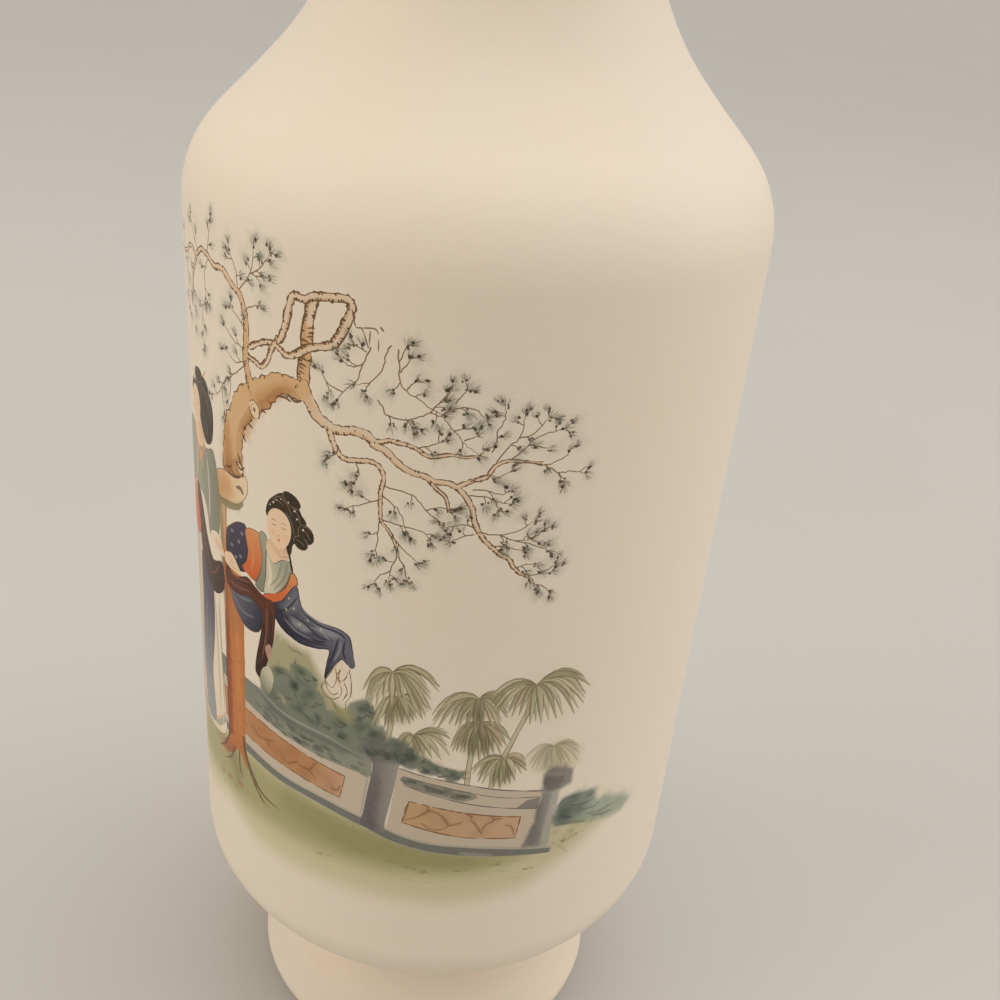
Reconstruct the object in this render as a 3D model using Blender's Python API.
"""Frosted opal glass vase: one mould-blown piece with a hollow foot, turned about +Z.

Metres, +Z up. The origin is the centre of the ring that the vase stands on.
"""
import math

import bmesh
import bpy

# Driving dimensions.
BODY_RADIUS = 0.050
BODY_LENGTH = 0.1285  # straight wall, from the shoulder down to the lower corner
WALL = 0.003
STANDING_RING = 0.005  # width of the flat ring under the foot
RECESS_DEPTH = 0.0015
RECESS_SLOPE = 0.003

# The outer side is a chain of bends that run into each other. Each is (turn towards the axis in
# degrees, radius); a turn of 0 is a straight run of that length.
SHOULDER_AND_NECK = (
    (39.0, 0.0203),  # rounded shoulder
    (7.0, 0.0350),
    (-4.0, 0.1720),  # nearly straight slope
    (-42.0, 0.0455),  # sweep into the narrowest part of the neck
    (-48.0, 0.0300),  # flared mouth
)
LOWER_BODY = (
    (30.0, 0.0132),  # rounded lower corner
    (35.0, 0.0400),  # bowl under the body
    (-115.0, 0.0050),  # waist, then out again
    (0.0, 0.0060),  # top of the foot
    (25.0, 0.0040),  # the foot's shoulder
)
FOOT_SIDE = ((0.0, 0.0070), (115.0, 0.0030))  # straight side, then its rounded lower edge
FLOOR_CORNER = ((115.0, 0.0030),)  # inside the foot

# Fineness of the mesh: a bend's facets stay this close to its true arc.
SEGMENTS = 60
OUTER_FIT = 0.00008
INNER_FIT = 0.00025
SHARP_EDGE = math.radians(35.0)

GLASS_COLOUR = (0.83, 0.77, 0.67, 1.0)
GLASS_ROUGHNESS = 0.42


def clear_scene():
    for obj in list(bpy.data.objects):
        bpy.data.objects.remove(obj, do_unlink=True)


def facets(turn, size, fit):
    """How many chords keep a bend of this turn and radius within fit of its arc."""
    widest = 2 * math.acos(1 - min(fit / size, 1.0))
    return max(1, math.ceil(abs(turn) / widest))


def trace(radius, height, up, legs, fit):
    """(radius, height) points along a chain of bends that sets off straight up or straight down.

    up is 1 or -1. The heading is the angle between the path and the axis, towards it.
    """
    points = [(radius, height)]
    heading = 0.0
    for degrees, size in legs:
        turn = math.radians(degrees)
        pieces = facets(turn, size, fit)
        bend = turn / pieces
        # The chord of an arc, or the whole run where the path is straight.
        length = 2 * size * math.sin(abs(bend) / 2) if turn else size
        for _ in range(pieces):
            middle = heading + bend / 2
            radius -= length * math.sin(middle)
            height += up * length * math.cos(middle)
            heading += bend
            points.append((radius, height))
    return points


def inside(legs):
    """The same bends on the inner side of the wall."""
    return tuple((turn, size - math.copysign(WALL, turn) if turn else size) for turn, size in legs)


def shoulder_height():
    """The top of the straight wall, above the standing ring."""
    lowest = trace(BODY_RADIUS, -BODY_LENGTH, -1, LOWER_BODY + FOOT_SIDE, OUTER_FIT)[-1]
    return -lowest[1]


def vase_profile():
    """The wall's section, from the middle of the floor over the lip to the middle of the underside."""
    shoulder = shoulder_height()
    corner = shoulder - BODY_LENGTH
    lip = ((180.0, WALL / 2),)
    inner_radius = BODY_RADIUS - WALL
    outer_up = trace(BODY_RADIUS, shoulder, 1, SHOULDER_AND_NECK + lip, OUTER_FIT)
    outer_down = trace(BODY_RADIUS, corner, -1, LOWER_BODY + FOOT_SIDE, OUTER_FIT)
    inner_up = trace(inner_radius, shoulder, 1, inside(SHOULDER_AND_NECK), INNER_FIT)
    inner_down = trace(inner_radius, corner, -1, inside(LOWER_BODY) + FLOOR_CORNER, INNER_FIT)
    ring = outer_down[-1][0] - STANDING_RING
    floor = [(0.0, inner_down[-1][1])]
    underside = [(ring, 0.0), (ring - RECESS_SLOPE, RECESS_DEPTH), (0.0, RECESS_DEPTH)]
    return floor + inner_down[::-1] + inner_up[:-1] + outer_up[::-1] + outer_down + underside


def turn_on_axis(name, profile):
    """A closed body of revolution whose profile starts and ends on the axis."""
    bm = bmesh.new()
    verts = [bm.verts.new((radius, 0.0, height)) for radius, height in profile]
    edges = [bm.edges.new(pair) for pair in zip(verts, verts[1:])]
    bmesh.ops.spin(
        bm,
        geom=verts + edges,
        cent=(0.0, 0.0, 0.0),
        axis=(0.0, 0.0, 1.0),
        angle=math.tau,
        steps=SEGMENTS,
    )
    bmesh.ops.remove_doubles(bm, verts=bm.verts, dist=1e-6)
    bmesh.ops.recalc_face_normals(bm, faces=bm.faces)
    mesh = bpy.data.meshes.new(name)
    bm.to_mesh(mesh)
    bm.free()
    mesh.shade_smooth()
    mesh.set_sharp_from_angle(angle=SHARP_EDGE)
    obj = bpy.data.objects.new(name, mesh)
    bpy.context.scene.collection.objects.link(obj)
    return obj


def opal_glass():
    material = bpy.data.materials.new("opal_glass")
    material.use_nodes = True
    shader = material.node_tree.nodes["Principled BSDF"]
    shader.inputs["Base Color"].default_value = GLASS_COLOUR
    shader.inputs["Roughness"].default_value = GLASS_ROUGHNESS
    shader.inputs["Metallic"].default_value = 0.0
    return material


def build_vase():
    vase = turn_on_axis("vase", vase_profile())
    vase.data.materials.append(opal_glass())
    return vase


clear_scene()
build_vase()
